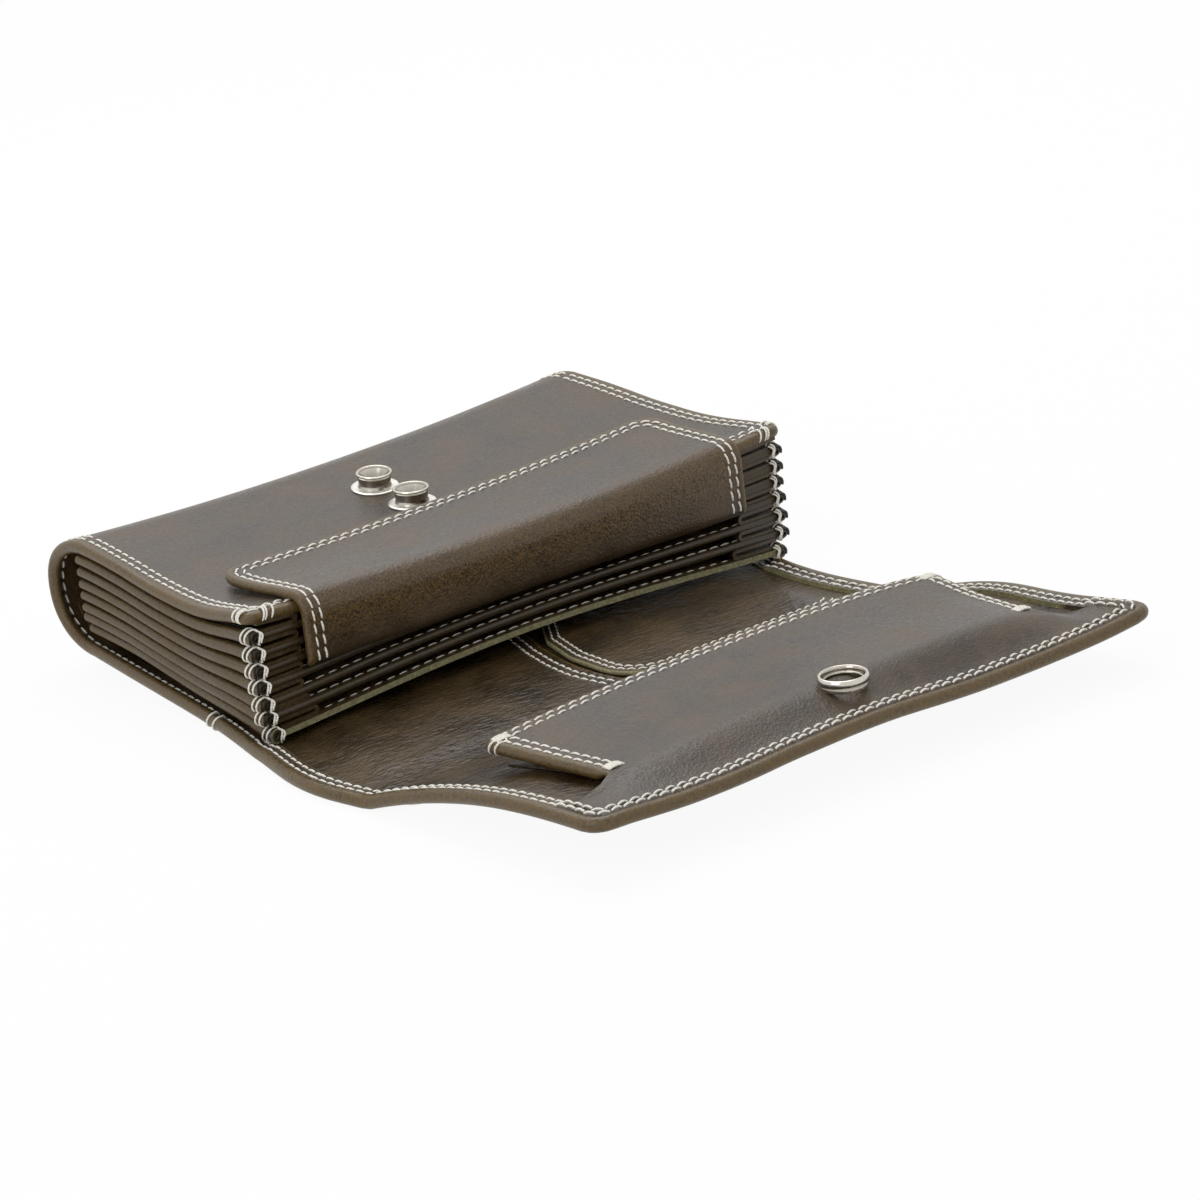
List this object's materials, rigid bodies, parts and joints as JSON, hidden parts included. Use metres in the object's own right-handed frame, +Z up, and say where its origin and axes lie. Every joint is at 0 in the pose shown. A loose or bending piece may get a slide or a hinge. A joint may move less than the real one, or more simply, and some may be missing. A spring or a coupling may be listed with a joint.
{
  "type": "waiter wallet",
  "caption": "Accordion wallet of stitched leather with a long flap, a coin pouch on the flap, a tongue over the first compartments and a snap.",
  "frame": {"origin": "centre of the bounding box on its bottom plane", "axes": "X along the wallet's long side, +Y toward the spine, -Y along the open flap, +Z up, away from the table that the wallet lies on"},
  "size_m": [0.19, 0.258, 0.0446],
  "materials": {
    "cover_back": "smooth grey-brown leather with a soft sheen, turned and stitched edges",
    "bottom_wall": "smooth leather, semi-matt, raw edges",
    "gusset_near_7": "thin folded leather",
    "gusset_far_7": "thin folded leather",
    "divider_7": "smooth leather, semi-matt, raw edges",
    "gusset_near_6": "thin folded leather",
    "gusset_far_6": "thin folded leather",
    "divider_6": "smooth leather, semi-matt, raw edges",
    "gusset_near_5": "thin folded leather",
    "gusset_far_5": "thin folded leather",
    "divider_5": "smooth leather, semi-matt, raw edges",
    "gusset_near_4": "thin folded leather",
    "gusset_far_4": "thin folded leather",
    "divider_4": "smooth leather, semi-matt, raw edges",
    "tongue_root": "smooth grey-brown leather with a soft sheen, turned and stitched edges",
    "gusset_near_3": "thin folded leather",
    "gusset_far_3": "thin folded leather",
    "divider_3": "smooth leather, semi-matt, raw edges",
    "gusset_near_2": "thin folded leather",
    "gusset_far_2": "thin folded leather",
    "divider_2": "smooth leather, semi-matt, raw edges",
    "gusset_near_1": "thin folded leather",
    "gusset_far_1": "thin folded leather",
    "cover_top": "smooth grey-brown leather with a soft sheen, turned and stitched edges",
    "stud_front": "polished nickel",
    "stud_rear": "polished nickel",
    "washer_front": "polished nickel",
    "washer_rear": "polished nickel",
    "stud_back_front": "polished nickel",
    "stud_back_rear": "polished nickel",
    "tongue": "smooth grey-brown leather with a soft sheen, turned and stitched edges",
    "flap_front": "smooth grey-brown leather with a soft sheen, turned and stitched edges",
    "slip_pocket_left": "smooth leather, semi-matt, raw edges",
    "slip_pocket_right": "smooth leather, semi-matt, raw edges",
    "flap_end": "smooth grey-brown leather with a soft sheen, turned and stitched edges",
    "coin_seat": "smooth grey-brown leather with a soft sheen, turned and stitched edges",
    "snap_ring": "polished nickel",
    "spring_ring": "bright spring wire",
    "socket_cap": "polished nickel",
    "flap_cap": "polished nickel",
    "coin_gusset_near": "thin folded leather",
    "coin_gusset_far": "thin folded leather",
    "coin_panel": "smooth grey-brown leather with a soft sheen, turned and stitched edges"
  },
  "bodies": {
    "base": {"cover_back": "cover_back", "bottom_wall": "bottom_wall", "gusset_near_7": "gusset_near_7", "gusset_far_7": "gusset_far_7"},
    "wall_7": {"divider_7": "divider_7", "gusset_near_6": "gusset_near_6", "gusset_far_6": "gusset_far_6"},
    "wall_6": {"divider_6": "divider_6", "gusset_near_5": "gusset_near_5", "gusset_far_5": "gusset_far_5"},
    "wall_5": {"divider_5": "divider_5", "gusset_near_4": "gusset_near_4", "gusset_far_4": "gusset_far_4"},
    "wall_4": {"divider_4": "divider_4", "tongue_root": "tongue_root", "gusset_near_3": "gusset_near_3", "gusset_far_3": "gusset_far_3"},
    "wall_3": {"divider_3": "divider_3", "gusset_near_2": "gusset_near_2", "gusset_far_2": "gusset_far_2"},
    "wall_2": {"divider_2": "divider_2", "gusset_near_1": "gusset_near_1", "gusset_far_1": "gusset_far_1"},
    "wall_1": {"cover_top": "cover_top", "stud_front": "stud_front", "stud_rear": "stud_rear", "washer_front": "washer_front", "washer_rear": "washer_rear", "stud_back_front": "stud_back_front", "stud_back_rear": "stud_back_rear"},
    "tongue": {"tongue": "tongue"},
    "flap_front": {"flap_front": "flap_front", "slip_pocket_left": "slip_pocket_left", "slip_pocket_right": "slip_pocket_right"},
    "flap_end": {"flap_end": "flap_end", "coin_seat": "coin_seat", "snap_ring": "snap_ring", "spring_ring": "spring_ring", "socket_cap": "socket_cap", "flap_cap": "flap_cap", "coin_gusset_near": "coin_gusset_near", "coin_gusset_far": "coin_gusset_far"},
    "coin_panel": {"coin_panel": "coin_panel"}
  },
  "joints": [
    {"name": "compartment_7", "type": "hinge", "parent": "base", "child": "wall_7", "pos_m": [0, 0.109, 0.04], "axis": [1, 0, 0], "range_deg": [-9, 0], "deforming": ["gusset_near_7", "gusset_far_7"]},
    {"name": "compartment_6", "type": "hinge", "parent": "wall_7", "child": "wall_6", "pos_m": [0, 0.109, 0.04], "axis": [1, 0, 0], "range_deg": [-9, 0], "deforming": ["gusset_near_6", "gusset_far_6"]},
    {"name": "compartment_5", "type": "hinge", "parent": "wall_6", "child": "wall_5", "pos_m": [0, 0.109, 0.04], "axis": [1, 0, 0], "range_deg": [-9, 0], "deforming": ["gusset_near_5", "gusset_far_5"]},
    {"name": "compartment_4", "type": "hinge", "parent": "wall_5", "child": "wall_4", "pos_m": [0, 0.109, 0.04], "axis": [1, 0, 0], "range_deg": [-9, 0], "deforming": ["gusset_near_4", "gusset_far_4"]},
    {"name": "compartment_3", "type": "hinge", "parent": "wall_4", "child": "wall_3", "pos_m": [0, 0.109, 0.04], "axis": [1, 0, 0], "range_deg": [-3, 0], "deforming": ["gusset_near_3", "gusset_far_3"]},
    {"name": "compartment_2", "type": "hinge", "parent": "wall_3", "child": "wall_2", "pos_m": [0, 0.109, 0.04], "axis": [1, 0, 0], "range_deg": [-3, 0], "deforming": ["gusset_near_2", "gusset_far_2"]},
    {"name": "compartment_1", "type": "hinge", "parent": "wall_2", "child": "wall_1", "pos_m": [0, 0.109, 0.04], "axis": [1, 0, 0], "range_deg": [-3, 0], "deforming": ["gusset_near_1", "gusset_far_1"]},
    {"name": "tongue_lift", "type": "hinge", "parent": "wall_4", "child": "tongue", "pos_m": [0, 0.01355, 0.0218], "axis": [-1, 0, 0], "range_deg": [-105, 0]},
    {"name": "flap_fold", "type": "hinge", "parent": "base", "child": "flap_front", "pos_m": [0, 0.0095, 0.0016], "axis": [-1, 0, 0], "range_deg": [0, 90]},
    {"name": "flap_wrap", "type": "hinge", "parent": "flap_front", "child": "flap_end", "pos_m": [0, -0.0385, 0.0016], "axis": [-1, 0, 0], "range_deg": [0, 82]},
    {"name": "coin_mouth", "type": "hinge", "parent": "flap_end", "child": "coin_panel", "pos_m": [0, -0.107, 0.0172], "axis": [-1, 0, 0], "range_deg": [-12, 6], "deforming": ["coin_gusset_near", "coin_gusset_far"]}
  ],
  "couplings": [
    {"joint": "compartment_3", "follows": "tongue_lift", "ratio": 0.0285},
    {"joint": "compartment_2", "follows": "tongue_lift", "ratio": 0.0285},
    {"joint": "compartment_1", "follows": "tongue_lift", "ratio": 0.0285}
  ]
}
